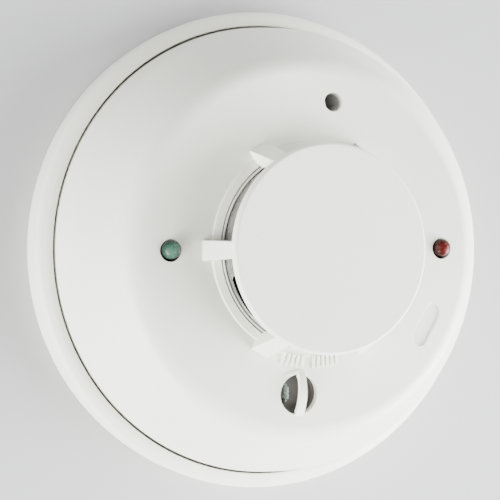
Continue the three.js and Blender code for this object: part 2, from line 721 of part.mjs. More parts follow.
addBase();
addChassis();
addChamber();
addIndicatorsAndSensors();
addBoardComponents();
add("cover", cover(), MATERIAL.housing);

export default group;
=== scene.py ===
"""The looks of a plug-in smoke and heat detector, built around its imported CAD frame.

Metres, +Z out of the detector's face. The detector lies on its back on a pale floor. Outlines are written in
millimetres, as [radius, height] corners with a fillet each, and turned about Z.
"""

import json
import math

import bmesh
import bpy
from mathutils import Matrix, Vector


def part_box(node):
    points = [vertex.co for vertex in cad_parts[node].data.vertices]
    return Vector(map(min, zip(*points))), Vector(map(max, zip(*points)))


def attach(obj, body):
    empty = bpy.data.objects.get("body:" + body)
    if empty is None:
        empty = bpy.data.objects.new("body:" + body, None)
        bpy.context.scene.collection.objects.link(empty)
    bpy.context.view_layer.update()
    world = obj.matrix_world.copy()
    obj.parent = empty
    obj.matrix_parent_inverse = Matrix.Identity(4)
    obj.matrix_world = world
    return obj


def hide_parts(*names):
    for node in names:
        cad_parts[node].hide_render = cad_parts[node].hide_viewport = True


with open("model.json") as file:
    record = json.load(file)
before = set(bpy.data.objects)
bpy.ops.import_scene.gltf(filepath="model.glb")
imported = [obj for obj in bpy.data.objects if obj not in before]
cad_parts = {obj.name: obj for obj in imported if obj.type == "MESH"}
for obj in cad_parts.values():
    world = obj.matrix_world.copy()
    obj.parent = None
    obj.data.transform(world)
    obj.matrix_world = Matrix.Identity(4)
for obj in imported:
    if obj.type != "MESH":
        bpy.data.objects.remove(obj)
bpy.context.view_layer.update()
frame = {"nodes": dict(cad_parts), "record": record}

MM = 0.001
ROUND = 256  # segments of the large turned pieces
SMALL_ROUND = 48

# ---------------------------------------------------------------- driving dimensions, in millimetres

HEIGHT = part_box("cover")[1].z / MM
BASE_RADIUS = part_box("mounting_base")[1].x / MM
SKIRT_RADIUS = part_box("cover")[1].x / MM
SKIRT_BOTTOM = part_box("cover")[0].z / MM
FRAME_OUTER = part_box("screen_frame")[1].x / MM
FRAME_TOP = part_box("screen_frame")[1].z / MM
MESH_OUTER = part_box("insect_screen")[1].x / MM
MESH_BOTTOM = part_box("insect_screen")[0].z / MM
MESH_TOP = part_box("insect_screen")[1].z / MM

BASE_FLOOR = 2.2
LIP_RADIUS = 62.95
LIP_TOP = 12.2
COLLAR_INNER = 26.3
COLLAR_OUTER = 28.4
COLLAR_TOP = 39.2
CAP_RADIUS = 27.15
CAP_THICKNESS = 2.9
ARM_COUNT = 6
BAYONET_ANGLES = (45, 135, 225, 315)
TERMINAL_ANGLES = (60, 90, 120, 240, 270, 300)
TERMINAL_RADIUS = 37
BOARD_SCREW_ANGLES = (45, 165, 285)
BOARD_SCREW_RADIUS = 32
BOARD_RADIUS = 47.5
BOARD_BOTTOM = 15
BOARD_TOP = 16.6
ON_BOARD = 16.9  # the foot of what stands on the board
REED_AXIS = ON_BOARD + 2.2
MARK_ANGLES = (-107.5, -104.8, -102.1, -99.4, -96.7, -90.5, -87.9, -85.3, -82.7, -80.1, -77.5)
MARK_WIDTH = 0.72
FACE_EDGE = (49.6, 38.15)  # where the face meets the slope, before rounding
FACE_FOOT = (COLLAR_OUTER, 38.5)  # where the face meets the collar, before rounding
FACE_SLOPE = (FACE_EDGE[1] - FACE_FOOT[1]) / (FACE_EDGE[0] - FACE_FOOT[0])

GREEN_LAMP = (-39.45, 0)
RED_LAMP = (39.4, -0.25)
LAMP_RADIUS = 2.45
LAMP_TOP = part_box("green_lamp")[1].z / MM
LAMP_OFFSET = 0.25  # how far along +Y of its hole's centre a lamp stands
LAMP_LEADS = (-1.27, 1.27)
TEST_HOLE = (6.65, 39)
WINDOW = (-4.35, -38.05)
THERMISTOR = (-2.8, 0.4)  # from the window's centre
THERMISTOR_LEAD = 2.4  # from the thermistor's middle
MAGNET_PAD = {"radius": 40.3, "angle": -31.4, "length": 12.8, "width": 5}
NOTCH_ANGLES = (196, 224)  # the stretch of the insect screen whose top edge is cut away
NOTCH_BOTTOM = 41.4


def face_height(x, y):
    return FACE_FOOT[1] + FACE_SLOPE * (math.hypot(x, y) - FACE_FOOT[0])


# ---------------------------------------------------------------- materials

MIDDLE = (0.3, 0.7)  # where most of a noise's values are


class Nodes:
    """A material's node tree, with short calls for adding and linking nodes."""

    def __init__(self, name):
        self.material = bpy.data.materials.new(name)
        self.material.use_nodes = True
        self.tree = self.material.node_tree
        self.shader = self.tree.nodes["Principled BSDF"]
        self.place = self.add("ShaderNodeTexCoord").outputs["Object"]

    def add(self, kind, **values):
        node = self.tree.nodes.new(kind)
        for key, value in values.items():
            if key in node.inputs:
                node.inputs[key].default_value = value
            else:
                setattr(node, key, value)
        return node

    def link(self, output, target):
        self.tree.links.new(output, target)

    def feed(self, socket, output):
        """Links an output to a socket of the shader."""
        self.link(output, self.shader.inputs[socket])

    def noise(self, scale, detail=3.0, roughness=0.5):
        node = self.add("ShaderNodeTexNoise", Scale=scale, Detail=detail, Roughness=roughness)
        self.link(self.place, node.inputs["Vector"])
        return node.outputs["Fac"]

    def map_range(self, source, low, high, start=0.0, end=1.0):
        node = self.add("ShaderNodeMapRange")
        node.inputs["From Min"].default_value = start
        node.inputs["From Max"].default_value = end
        node.inputs["To Min"].default_value = low
        node.inputs["To Max"].default_value = high
        self.link(source, node.inputs["Value"])
        return node.outputs["Result"]

    def mix(self, factor, first, second):
        node = self.add("ShaderNodeMix", data_type="RGBA")
        node.inputs["A"].default_value = (*first, 1)
        node.inputs["B"].default_value = (*second, 1)
        self.link(factor, node.inputs["Factor"])
        return node.outputs["Result"]

    def bump(self, height, strength, distance_mm, before=None):
        node = self.add("ShaderNodeBump", Strength=strength, Distance=distance_mm * MM)
        self.link(height, node.inputs["Height"])
        if before is not None:
            self.link(before, node.inputs["Normal"])
        return node.outputs["Normal"]


def set_shader(nodes, **values):
    for key, value in values.items():
        nodes.shader.inputs[key.replace("_", " ")].default_value = value


def moulded_plastic(name, light, dark, roughness, grain=0.35):
    """Injection-moulded plastic: a fine spark-eroded grain, faint clouds in colour and in gloss."""
    nodes = Nodes(name)
    clouds = nodes.noise(45, 4)
    nodes.feed("Base Color", nodes.mix(nodes.map_range(clouds, 0, 1, *MIDDLE), dark, light))
    gloss = nodes.noise(320, 5, 0.6)
    nodes.feed("Roughness", nodes.map_range(gloss, roughness - 0.05, roughness + 0.05, *MIDDLE))
    grain_height = nodes.noise(3200, 2, 0.6)
    waves = nodes.noise(90, 2)
    normal = nodes.bump(waves, 0.06, 0.6)
    normal = nodes.bump(grain_height, grain, 0.02, normal)
    nodes.feed("Normal", normal)
    set_shader(nodes, Specular_IOR_Level=0.45)
    return nodes.material


def brushed_metal(name, light, dark, roughness):
    """Bare or plated metal: patches in colour, and fine scratches in gloss and height."""
    nodes = Nodes(name)
    patches = nodes.noise(220, 4, 0.6)
    nodes.feed("Base Color", nodes.mix(nodes.map_range(patches, 0, 1, *MIDDLE), dark, light))
    scratches = nodes.noise(900, 3, 0.7)
    nodes.feed("Roughness", nodes.map_range(scratches, roughness - 0.08, roughness + 0.12, *MIDDLE))
    nodes.feed("Normal", nodes.bump(scratches, 0.12, 0.03))
    set_shader(nodes, Metallic=1.0)
    return nodes.material


def tinted_lens_painted_light(name, lit_crown, edge, transmission=0.2):
    """Dyed clear resin with light painted into its colour: a paler crown where it faces up, painted as the
    glow of its reflector, and painted shade down its sides.
    """
    nodes = Nodes(name)
    normal = nodes.add("ShaderNodeTexCoord").outputs["Normal"]
    split = nodes.add("ShaderNodeSeparateXYZ")
    nodes.link(normal, split.inputs["Vector"])
    swirl = nodes.map_range(nodes.noise(900, 3), -0.12, 0.12, *MIDDLE)
    total = nodes.add("ShaderNodeMath", operation="ADD")
    nodes.link(split.outputs["Z"], total.inputs[0])
    nodes.link(swirl, total.inputs[1])
    # painted light: from the painted-shade side colour to the lit crown colour where the surface faces up
    painted_light_mask = nodes.map_range(total.outputs["Value"], 0, 1, 0.5, 0.97)
    nodes.feed("Base Color", nodes.mix(painted_light_mask, edge, lit_crown))
    marks = nodes.noise(1500, 2)
    nodes.feed("Roughness", nodes.map_range(marks, 0.24, 0.34, 0.4, 0.7))
    nodes.feed("Normal", nodes.bump(marks, 0.03, 0.02))
    set_shader(nodes, IOR=1.5, Transmission_Weight=transmission, Specular_IOR_Level=0.12)
    return nodes.material


def solder_mask(name):
    """Green solder mask with copper tracks just showing under it."""
    nodes = Nodes(name)
    tracks = nodes.add("ShaderNodeTexBrick", Scale=260.0)
    tracks.inputs["Color1"].default_value = (0.012, 0.085, 0.035, 1)
    tracks.inputs["Color2"].default_value = (0.010, 0.07, 0.03, 1)
    tracks.inputs["Mortar"].default_value = (0.03, 0.19, 0.075, 1)
    tracks.inputs["Mortar Size"].default_value = 0.035
    nodes.link(nodes.place, tracks.inputs["Vector"])
    nodes.feed("Base Color", tracks.outputs["Color"])
    nodes.feed("Roughness", nodes.map_range(nodes.noise(700), 0.22, 0.4))
    nodes.feed("Normal", nodes.bump(tracks.outputs["Fac"], 0.5, 0.035))
    set_shader(nodes, Coat_Weight=0.3, Coat_Roughness=0.15)
    return nodes.material


def floor_paper(name):
    """Matt pale grey paper with faint clouds."""
    nodes = Nodes(name)
    clouds = nodes.noise(6, 3)
    nodes.feed("Base Color", nodes.mix(clouds, (0.50, 0.505, 0.51), (0.53, 0.535, 0.54)))
    nodes.feed("Roughness", nodes.map_range(nodes.noise(900), 0.75, 0.9))
    nodes.feed("Normal", nodes.bump(nodes.noise(1200, 4), 0.15, 0.05))
    return nodes.material


MATERIALS = {
    "housing": moulded_plastic("housing", (0.865, 0.87, 0.785), (0.84, 0.845, 0.765), 0.42),
    "inner_plastic": moulded_plastic("inner_plastic", (0.80, 0.79, 0.755), (0.77, 0.76, 0.73), 0.55),
    "contact_brass": brushed_metal("contact_brass", (0.83, 0.66, 0.33), (0.70, 0.53, 0.25), 0.3),
    "plated_steel": brushed_metal("plated_steel", (0.66, 0.66, 0.67), (0.56, 0.56, 0.57), 0.34),
    "board": solder_mask("board"),
    "black_plastic": moulded_plastic("black_plastic", (0.018, 0.018, 0.019), (0.012, 0.012, 0.013), 0.6, 0.6),
    "dark_plastic": moulded_plastic("dark_plastic", (0.105, 0.097, 0.087), (0.085, 0.079, 0.07), 0.6, 0.5),
    "grey_plastic": moulded_plastic("grey_plastic", (0.45, 0.445, 0.43), (0.41, 0.405, 0.39), 0.5),
    "screen_mesh": brushed_metal("screen_mesh", (0.62, 0.62, 0.60), (0.5, 0.5, 0.48), 0.45),
    # lens and glass colours: the lit crown first, then the painted-shade sides
    "green_lens": tinted_lens_painted_light("green_lens", (0.075, 0.19, 0.13), (0.018, 0.045, 0.034)),
    "red_lens": tinted_lens_painted_light("red_lens", (0.13, 0.012, 0.009), (0.03, 0.004, 0.003)),
    "tube_glass": tinted_lens_painted_light("tube_glass", (0.42, 0.5, 0.45), (0.2, 0.25, 0.22), 0.6),
    "dark_bead": moulded_plastic("dark_bead", (0.05, 0.042, 0.035), (0.03, 0.025, 0.02), 0.3, 0.2),
    "blue_coat": moulded_plastic("blue_coat", (0.04, 0.13, 0.36), (0.03, 0.10, 0.28), 0.3, 0.2),
}

# ---------------------------------------------------------------- mesh helpers


def rounded(corners, step_degrees=12):
    """A closed outline from (r, z) or (r, z, fillet) corners, with each fillet as an arc."""
    points = []
    count = len(corners)
    for i, corner in enumerate(corners):
        here = Vector(corner[:2])
        fillet = corner[2] if len(corner) > 2 else 0
        if fillet == 0:
            points.append(here)
            continue
        back = (Vector(corners[i - 1][:2]) - here).normalized()
        ahead = (Vector(corners[(i + 1) % count][:2]) - here).normalized()
        angle = back.angle(ahead)
        middle = here + (back + ahead).normalized() * fillet / math.sin(angle / 2)
        start = here + back * fillet / math.tan(angle / 2) - middle
        turn = start.angle_signed(here + ahead * fillet / math.tan(angle / 2) - middle)
        steps = max(2, round(abs(math.degrees(turn)) / step_degrees))
        for k in range(steps + 1):
            points.append(middle + Matrix.Rotation(-turn * k / steps, 2) @ start)
    return [(p.x, p.y) for p in points]


def new_object(name, mesh):
    obj = bpy.data.objects.new(name, mesh)
    bpy.context.scene.collection.objects.link(obj)
    return obj


def from_bmesh(name, bm):
    bmesh.ops.remove_doubles(bm, verts=bm.verts, dist=1e-7)
    bmesh.ops.recalc_face_normals(bm, faces=bm.faces)
    mesh = bpy.data.meshes.new(name)
    bm.to_mesh(mesh)
    bm.free()
    return new_object(name, mesh)


def lathe(name, outline, segments=ROUND):
    """The closed outline of (r, z) millimetres, turned about Z."""
    bm = bmesh.new()
    loops = []
    for i in range(segments):
        angle = 2 * math.pi * i / segments
        loops.append([
            bm.verts.new((r * math.cos(angle) * MM, r * math.sin(angle) * MM, z * MM)) for r, z in outline
        ])
    count = len(outline)
    for i in range(segments):
        here, there = loops[i], loops[(i + 1) % segments]
        for k in range(count):
            after = (k + 1) % count
            on_axis = outline[k][0] == 0, outline[after][0] == 0
            if all(on_axis):
                continue
            if on_axis[0]:
                bm.faces.new((here[k], there[after], here[after]))
            elif on_axis[1]:
                bm.faces.new((here[k], there[k], here[after]))
            else:
                bm.faces.new((here[k], there[k], there[after], here[after]))
    return from_bmesh(name, bm)


def wall(bm, first, second):
    """Joins two rings of as many vertices with faces."""
    for i in range(len(first)):
        j = (i + 1) % len(first)
        bm.faces.new((first[i], first[j], second[j], second[i]))


def prism(name, first, last):
    """The solid between two like outlines of (x, y, z) millimetres."""
    bm = bmesh.new()
    ends = [[bm.verts.new((x * MM, y * MM, z * MM)) for x, y, z in outline] for outline in (first, last)]
    for end in ends:
        bm.faces.new(end)
    wall(bm, *ends)
    return from_bmesh(name, bm)


def extrude(name, outline, low, high):
    """The closed (x, y) outline between two heights."""
    return prism(name, [(x, y, low) for x, y in outline], [(x, y, high) for x, y in outline])


def rectangle(left, front, right, back):
    """The corners of a rectangle, as an outline."""
    return [(left, front), (right, front), (right, back), (left, back)]


def rod(name, radius, low, high, segments=SMALL_ROUND):
    return lathe(name, [(0, low), (radius, low), (radius, high), (0, high)], segments)


def tube(name, points, radii, sides=12):
    """A rod of changing radius along a path, in millimetres, with flat ends."""
    bm = bmesh.new()
    path = [Vector(p) for p in points]
    before = None
    side_way = None
    for i, (here, radius) in enumerate(zip(path, radii)):
        along = (path[min(i + 1, len(path) - 1)] - path[max(i - 1, 0)]).normalized()
        if side_way is None:
            side_way = along.orthogonal().normalized()
        side_way = (side_way - along * side_way.dot(along)).normalized()
        other_way = along.cross(side_way)
        ring = []
        for k in range(sides):
            turn = 2 * math.pi * k / sides
            offset = radius * (math.cos(turn) * side_way + math.sin(turn) * other_way)
            ring.append(bm.verts.new((here + offset) * MM))
        if before:
            wall(bm, before, ring)
        else:
            bm.faces.new(ring)
        before = ring
    bm.faces.new(before)
    return from_bmesh(name, bm)


def move(obj, x=0, y=0, z=0, turn=0):
    """Turns the mesh about Z by degrees, then moves it by millimetres."""
    place = Matrix.Translation((x * MM, y * MM, z * MM))
    obj.data.transform(place @ Matrix.Rotation(math.radians(turn), 4, "Z"))
    return obj


def around(obj, radius, angle):
    """Moves the mesh out along X, then turns it round the detector's axis."""
    return move(move(obj, radius), turn=angle)


def remove(obj):
    mesh = obj.data
    bpy.data.objects.remove(obj)
    bpy.data.meshes.remove(mesh)


def apply_modifiers(obj):
    graph = bpy.context.evaluated_depsgraph_get()
    mesh = bpy.data.meshes.new_from_object(obj.evaluated_get(graph))
    obj.modifiers.clear()
    old = obj.data
    obj.data = mesh
    bpy.data.meshes.remove(old)
    return obj


def boolean(obj, tool, operation):
    modifier = obj.modifiers.new(operation, "BOOLEAN")
    modifier.operation = operation
    modifier.solver = "MANIFOLD"
    modifier.object = tool
    apply_modifiers(obj)
    remove(tool)
    return obj


def cut(obj, *tools):
    for tool in tools:
        boolean(obj, tool, "DIFFERENCE")
    return obj


def join(obj, *others):
    for other in others:
        boolean(obj, other, "UNION")
    return obj


def merge(name, objects):
    """Separate closed shells as one object."""
    bm = bmesh.new()
    for obj in objects:
        bm.from_mesh(obj.data)
        remove(obj)
    mesh = bpy.data.meshes.new(name)
    bm.to_mesh(mesh)
    bm.free()
    return new_object(name, mesh)


def bevel(obj, width_mm, segments=2, angle=35):
    modifier = obj.modifiers.new("bevel", "BEVEL")
    modifier.width = width_mm * MM
    modifier.segments = segments
    modifier.limit_method = "ANGLE"
    modifier.angle_limit = math.radians(angle)
    return obj


def smooth(obj, sharp_degrees=32):
    """Smooth shading that keeps the sharp edges, with normals led by the larger faces."""
    mesh = obj.data
    mesh.shade_smooth()
    bm = bmesh.new()
    bm.from_mesh(mesh)
    limit = math.radians(sharp_degrees)
    for edge in bm.edges:
        edge.smooth = len(edge.link_faces) == 2 and edge.calc_face_angle() < limit
    bm.to_mesh(mesh)
    bm.free()
    modifier = obj.modifiers.new("normals", "WEIGHTED_NORMAL")
    modifier.keep_sharp = True
    modifier.weight = 80
    return obj


def piece(obj, name, body, slot, *nodes):
    """Makes obj a piece of the object: gives it its name and material, hangs it on its body, and hides the
    CAD nodes that it stands for.
    """
    obj.name = name
    obj.data.name = name
    obj.data.materials.clear()
    obj.data.materials.append(MATERIALS[slot])
    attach(obj, body)
    if nodes:
        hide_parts(*nodes)
    return obj


# ---------------------------------------------------------------- mounting base


def base_shell():
    wall = BASE_RADIUS - 2
    outline = rounded([
        (BASE_RADIUS - 0.3, 0, 0.5),
        (BASE_RADIUS, 4, 8),
        (BASE_RADIUS - 0.15, 10.6, 2.6),
        (LIP_RADIUS + 1.4, LIP_TOP, 3),
        (LIP_RADIUS, LIP_TOP - 0.05, 0.3),
        (LIP_RADIUS, 10.7),
        (wall, 9.6, 1),
        (wall, BASE_FLOOR),
        (60, BASE_FLOOR),
        (60, 10),
        (58.4, 10),
        (58.4, BASE_FLOOR),
        (20, BASE_FLOOR, 0.3),
        (20, 0, 0.3),
    ], 8)
    return lathe("base_shell", outline)


def ring_sector(name, inner, outer, half_angle, low, high, steps=12):
    """A stretch of a ring, centred on +X."""
    turns = [math.radians(half_angle * (2 * k / steps - 1)) for k in range(steps + 1)]
    outside = [(outer * math.cos(t), outer * math.sin(t)) for t in turns]
    inside = [(inner * math.cos(t), inner * math.sin(t)) for t in reversed(turns)]
    return extrude(name, outside + inside, low, high)


def slot_outline(first, last, width, steps=12):
    """A slot with round ends, along X."""
    half = width / 2
    points = []
    for middle, start in ((last - half, -90), (first + half, 90)):
        for k in range(steps + 1):
            angle = math.radians(start + 180 * k / steps)
            points.append((middle + half * math.cos(angle), half * math.sin(angle)))
    return points


def base():
    shell = base_shell()
    for angle in BAYONET_ANGLES:
        ledge = ring_sector("ledge", 56.6, 58.9, 9, 8.2, 10)
        stop = ring_sector("stop", 56.6, 58.9, 0.8, 2, 8.4, 4)
        join(shell, move(apply_modifiers(bevel(ledge, 0.25)), turn=angle), move(stop, turn=angle - 8.2))
    for angle in TERMINAL_ANGLES:
        boss = extrude("boss", rectangle(32, -4.7, 49.5, 4.7), 1.8, 4.2)
        join(shell, move(apply_modifiers(bevel(boss, 0.35)), turn=angle))
        cut(shell, around(rod("screw_hole", 1.95, 0.8, 5), TERMINAL_RADIUS, angle))
    for angle in (0, 180):
        cut(shell, move(extrude("screw_slot", slot_outline(30, 46, 5.2), -1, 4), turn=angle))
        recess = extrude("recess", slot_outline(27.6, 48.4, 10), 1.7, 4)
        cut(shell, move(recess, turn=angle))
    for angle in range(0, 360, 30):
        cut(shell, around(rod("ejector_mark", 1.6, -0.5, 0.12, 32), 54.2, angle + 15))
    return apply_modifiers(bevel(shell, 0.15, 2, 50))


# ---------------------------------------------------------------- screws and chassis


def slotted_screw(shank, length, head, under, head_height, turn):
    """An upright screw: its shank's and head's radii, and the height of the face under its head."""
    top = under + head_height
    body = lathe("screw", rounded([
        (0, under - length), (shank * 0.7, under - length, 0.2), (shank, under - length + 0.8, 0.2),
        (shank, under), (head, under, 0.1), (head, top, head_height * 0.35), (0, top + head_height * 0.08),
    ], 15), 40)
    half = head * 0.14
    recess = extrude("slot", rectangle(-head - 1, -half, head + 1, half), top - head_height * 0.45, top + 1)
    return move(cut(body, recess), turn=turn)


def screws():
    for i, angle in enumerate(TERMINAL_ANGLES):
        screw = slotted_screw(1.6, 5.2, 3.2, 6.6, 2, 20 + 25 * i)
        piece(smooth(around(screw, TERMINAL_RADIUS, angle)), f"slotted_screw_{i + 1}", "base", "plated_steel",
              f"terminal_screw_{i + 1}")
    for i, angle in enumerate(BOARD_SCREW_ANGLES):
        screw = slotted_screw(1.1, 5, 2.6, ON_BOARD, 1.6, 35 * i)
        piece(smooth(around(screw, BOARD_SCREW_RADIUS, angle)), f"board_screw_head_{i + 1}", "head",
              "plated_steel", f"board_screw_{i + 1}")


def chassis():
    pan = lathe("pan", rounded([
        (0, 10.6), (54.6, 10.6), (54.6, 5.4, 0.2), (56.2, 5.4, 0.2), (56.2, 12.4, 0.4), (0, 12.4),
    ], 20), 192)
    for angle in BAYONET_ANGLES:
        lug = ring_sector("lug", 55.8, 58, 7, 5.4, 7.9)
        join(pan, move(apply_modifiers(bevel(lug, 0.3)), turn=angle))
    for angle in (22.5, 112.5, 202.5, 292.5):
        tongue = ring_sector("tongue", 54.2, 55.6, 4.5, 12.2, 19.5)
        join(tongue, ring_sector("hook", 55.2, 56.4, 4.5, 17.6, 18.9))
        join(pan, move(apply_modifiers(bevel(tongue, 0.25)), turn=angle))
    for angle in BOARD_SCREW_ANGLES:
        join(pan, around(rod("post", 3, 12.2, 14.7), BOARD_SCREW_RADIUS, angle))
        cut(pan, around(rod("post_hole", 1.4, 11.4, 15, 24), BOARD_SCREW_RADIUS, angle))
    for angle in TERMINAL_ANGLES:
        cut(pan, move(ring_sector("blade_slot", 45.2, 46.8, 4.3, 9.6, 13.4), turn=angle))
    return pan


# ---------------------------------------------------------------- circuit board and its components


def board_plate():
    plate = rod("plate", BOARD_RADIUS, BOARD_BOTTOM, BOARD_TOP, 192)
    for angle in BOARD_SCREW_ANGLES:
        cut(plate, around(rod("hole", 1.5, 14, 18, 24), BOARD_SCREW_RADIUS, angle))
    for angle in (20, 200):
        cut(plate, around(rod("notch", 1.6, 14, 18, 24), BOARD_RADIUS, angle))
    return apply_modifiers(bevel(plate, 0.08, 1, 60))


def on_board(obj, x, y, turn):
    """Moves a part from the board's middle to its own place."""
    return move(obj, x, y, turn=turn)


def can_sleeve(radius, height):
    """An electrolytic can's sleeve, crimped near its foot."""
    top = ON_BOARD + height
    return lathe("sleeve", rounded([
        (0, ON_BOARD), (radius, ON_BOARD, 0.2), (radius, 18.1, 0.2), (radius - 0.25, 18.4, 0.2),
        (radius, 18.7, 0.2), (radius, top, 0.45), (radius - 0.7, top - 0.02), (radius - 0.8, top - 0.12),
        (0, top - 0.12),
    ], 20), 64)


def can_top(radius, height):
    """The can's bare top, scored with a cross."""
    top = ON_BOARD + height
    disc = rod("top", radius - 0.75, top - 0.4, top - 0.06, 48)
    for angle in (0, 90):
        half = radius * 0.6
        groove = extrude("groove", rectangle(-half, -0.12, half, 0.12), top - 0.2, top + 1)
        cut(disc, move(groove, turn=angle))
    return disc


def soft_box(name, length, width, low, high, edge):
    """A bevelled box, centred on the axis."""
    box = extrude(name, rectangle(-length / 2, -width / 2, length / 2, width / 2), low, high)
    return apply_modifiers(bevel(box, edge))


def gull_leads(count, pitch, reach, half_body):
    """A row of bent leads along both X sides of a package."""
    path = [(half_body - 0.2, 17.7), (half_body + 0.35, 17.7), (half_body + 0.6, 17.1), (reach, 17.0)]
    leads = []
    for side in (0, 180):
        for k in range(count):
            y = (k - (count - 1) / 2) * pitch
            upper = [(x, z + 0.1) for x, z in path]
            lower = [(x, z - 0.1) for x, z in reversed(path)]
            lead = extrude("lead", upper + lower, y - 0.17, y + 0.17)
            lead.data.transform(Matrix.Rotation(math.pi / 2, 4, "X"))
            leads.append(move(lead, turn=side))
    return merge("leads", leads)


def reed_tube():
    ends = [0.35, 0.8, 1.1, 1.2]
    xs = [-5.5, -5.35, -5.0, -4.4, 4.4, 5.0, 5.35, 5.5]
    return tube("reed_glass", [(x, 0, REED_AXIS) for x in xs], ends + ends[::-1], 32)


def reed_leads():
    path = [(-6.9, 0, ON_BOARD), (-6.9, 0, 18.6), (-6.75, 0, 18.95), (-6.4, 0, REED_AXIS),
            (6.4, 0, REED_AXIS), (6.75, 0, 18.95), (6.9, 0, 18.6), (6.9, 0, ON_BOARD)]
    return tube("reed_lead", path, [0.28] * len(path), 12)


def suppressor_disc():
    outline = rounded([(0, -1.6), (4.4, -1.6, 0.9), (4.4, 1.6, 0.9), (0, 1.6)], 15)
    disc = lathe("varistor", outline, 64)
    disc.data.transform(Matrix.Translation((0, 0, 22.5 * MM)) @ Matrix.Rotation(math.pi / 2, 4, "X"))
    return disc


def suppressor_leads():
    return merge("varistor_leads", [move(rod("leg", 0.33, ON_BOARD, 20.4, 16), x) for x in (-2.5, 2.5)])


CONTROLLER = (-24, 26, 45)  # x, y and turn of each large part
RECTIFIER = (-17, -35, 25)
SHIELD = (35, 19, -60)
SUPPRESSOR = (-35.5, -12.5, 65)
CAPACITORS = ((-31, -24, 4, 8.5), (18, -33.5, 3.15, 6.5))  # x, y, radius and height
SMALL_PARTS = (  # radius and angle on the board, and the turn of each small surface-mount part
    (34, 100, 10), (37, 104, 10), (40, 99, 10), (30, 112, 40), (33, 117, 40), (42, 130, 40), (44, 138, 60),
    (30, 68, 0), (33, 64, 90), (43, 66, 0), (43.5, 74, 0), (28, 75, 90), (41, 155, 90), (43, 163, 90),
    (30, 185, 0), (30, 192, 0), (44, 187, 0), (30, 205, 45), (44, 212, 45), (28, 228, 45), (43, 232, 0),
    (44, 240, 90), (28, 270, 0), (30, 277, 0), (43, 286, 30), (44, 293, 30), (28, 312, 60), (31, 318, 60),
    (34, 312, 60), (28, 345, 0), (30, 352, 90), (44, 10, 0), (44, 350, 0), (28, 12, 45),
)


def small_parts():
    """Chip resistors and capacitors: their bodies and their tinned ends."""
    bodies, ends = [], []
    for radius, angle, turn in SMALL_PARTS:
        x, y = radius * math.cos(math.radians(angle)), radius * math.sin(math.radians(angle))
        bodies.append(move(soft_box("chip", 1.3, 1.15, BOARD_TOP + 0.02, 17.1, 0.06), x, y, turn=turn))
        for side in (-0.85, 0.85):
            end = move(soft_box("chip_end", 0.5, 1.2, BOARD_TOP, 17.14, 0.1), side)
            ends.append(move(end, x, y, turn=turn))
    return merge("chip_bodies", bodies), merge("chip_ends", ends)


def legend_frames():
    """The pale outline printed round each large component."""
    frames = []
    low, high = 16.58, 16.64
    for x, y, turn, length, width in ((*CONTROLLER, 12.4, 12.4), (*RECTIFIER, 9, 6.6), (*SHIELD, 12.4, 9.4)):
        outer = soft_box("frame", length, width, low, high, 0.01)
        cut(outer, soft_box("inside", length - 0.4, width - 0.4, 16, 17, 0.01))
        frames.append(move(outer, x, y, turn=turn))
    for x, y, radius in ((-31, -24, 4.9), (18, -33.5, 4)):
        frames.append(move(lathe("circle", rectangle(radius, low, radius + 0.2, high), 64), x, y))
    return merge("board_legend", frames)


def board_components():
    piece(board_plate(), "board_plate", "head", "board", "circuit_board")
    for i, (x, y, radius, height) in enumerate(CAPACITORS):
        piece(smooth(move(can_sleeve(radius, height), x, y)), f"capacitor_sleeve_{i + 1}", "head",
              "black_plastic", f"filter_capacitor_{i + 1}")
        piece(smooth(move(can_top(radius, height), x, y, turn=20)), f"capacitor_top_{i + 1}", "head",
              "plated_steel")
    package = soft_box("controller", 9, 9, ON_BOARD, 18.5, 0.12)
    piece(on_board(package, *CONTROLLER), "controller_body", "head", "black_plastic", "microcontroller")
    leads = merge("controller_leads", [gull_leads(9, 0.8, 6, 4.5), move(gull_leads(9, 0.8, 6, 4.5), turn=90)])
    piece(on_board(leads, *CONTROLLER), "controller_leads", "head", "plated_steel")
    package = soft_box("rectifier", 6.4, 4.8, ON_BOARD, 19.7, 0.2)
    piece(on_board(package, *RECTIFIER), "rectifier_body", "head", "black_plastic", "bridge_rectifier")
    piece(on_board(gull_leads(2, 2.6, 4.6, 3.2), *RECTIFIER), "rectifier_leads", "head", "plated_steel")
    can = soft_box("can", 11, 8, ON_BOARD, 21.1, 0.4)
    for x in (-3.6, 0, 3.6):
        cut(can, move(rod("vent", 0.6, 20.9, 22, 24), x, 0))
    piece(smooth(on_board(can, *SHIELD)), "shield_can", "head", "plated_steel", "amplifier_shield")
    low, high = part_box("reed_switch")
    x, y = (low.x + high.x) / 2 / MM, (low.y + high.y) / 2 / MM
    turn = MAGNET_PAD["angle"] + 90
    piece(smooth(on_board(reed_tube(), x, y, turn)), "reed_glass", "head", "tube_glass", "reed_switch")
    piece(smooth(on_board(reed_leads(), x, y, turn)), "reed_leads", "head", "plated_steel")
    piece(smooth(on_board(suppressor_disc(), *SUPPRESSOR)), "varistor_disc", "head", "blue_coat",
          "surge_suppressor")
    piece(smooth(on_board(suppressor_leads(), *SUPPRESSOR)), "varistor_leads", "head", "plated_steel")
    chips, ends = small_parts()
    piece(chips, "chip_bodies", "head", "black_plastic")
    piece(ends, "chip_ends", "head", "plated_steel")
    piece(legend_frames(), "board_legend", "head", "housing")


# ---------------------------------------------------------------- optical chamber


def chamber_bowl():
    bowl = lathe("bowl", rounded([
        (0, 34), (20, 34), (20, ON_BOARD), (22, ON_BOARD, 0.2), (22, 29.6, 1), (26.2, 31.6, 0.6),
        (26.2, 33.2, 0.3), (24.6, 33.2), (24.6, 36, 0.4), (0, 36),
    ], 15), 144)
    for angle in (150, 30):
        holder = soft_box("holder", 8.5, 8, 35.8, 43.6, 0.4)
        bore = rod("bore", 2.8, -20, -8, 32)
        bore.data.transform(Matrix.Translation((0, 0, 40 * MM)) @ Matrix.Rotation(-math.pi / 2, 4, "Y"))
        join(bowl, move(cut(move(holder, 13.25), bore), turn=angle))
    return bowl


